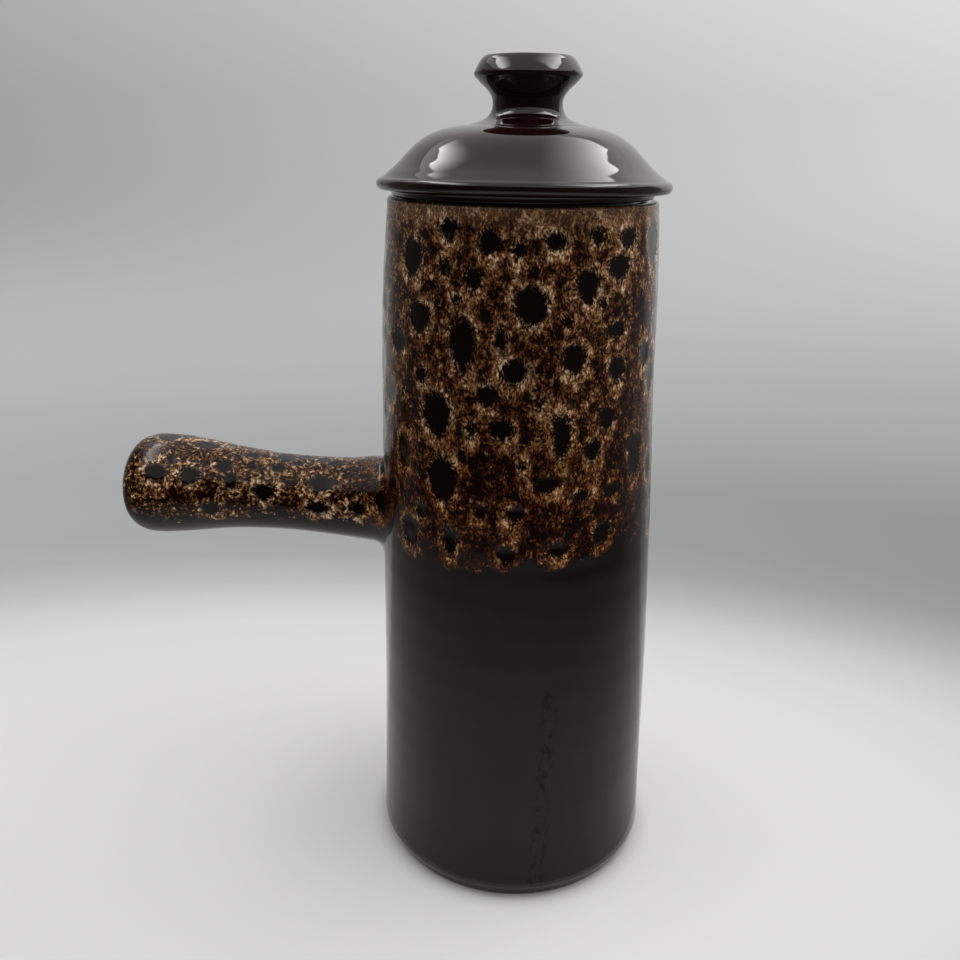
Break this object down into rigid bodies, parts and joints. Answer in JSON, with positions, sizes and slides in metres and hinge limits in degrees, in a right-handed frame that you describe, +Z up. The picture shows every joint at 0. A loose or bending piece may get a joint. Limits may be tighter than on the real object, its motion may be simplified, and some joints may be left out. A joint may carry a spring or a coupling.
{
  "type": "side-handled lidded stoneware pouring pot",
  "caption": "Tall cylindrical stoneware pouring pot with a hollow side stick handle, a beak spout and a domed lift-off lid with a flared knob.",
  "frame": {"origin": "centre of the flat foot, on the pot's vertical axis", "axes": "+Z up along the pot's axis; the stick handle points along -X; the spout points along +Y"},
  "size_m": [0.1985, 0.1214, 0.2913],
  "materials": {
    "dipped_glaze": "gloss",
    "dark_glaze": "gloss",
    "ring_glaze": "satin"
  },
  "bodies": {
    "pot": {"pot_body": "dipped_glaze", "side_handle": "dipped_glaze", "pouring_spout": "dipped_glaze"},
    "lid_ring": {"lid_locating_ring": "ring_glaze"},
    "lid": {"lid_dome": "dark_glaze", "lid_knob": "dark_glaze"}
  },
  "joints": [
    {"name": "lid_lift", "type": "slide", "parent": "pot", "child": "lid_ring", "axis": [0, 0, 1], "range_m": [0, 0.12]},
    {"name": "lid_turn", "type": "hinge", "parent": "lid_ring", "child": "lid", "pos_m": [0, 0, 0.2447], "axis": [0, 0, 1], "continuous": true}
  ]
}
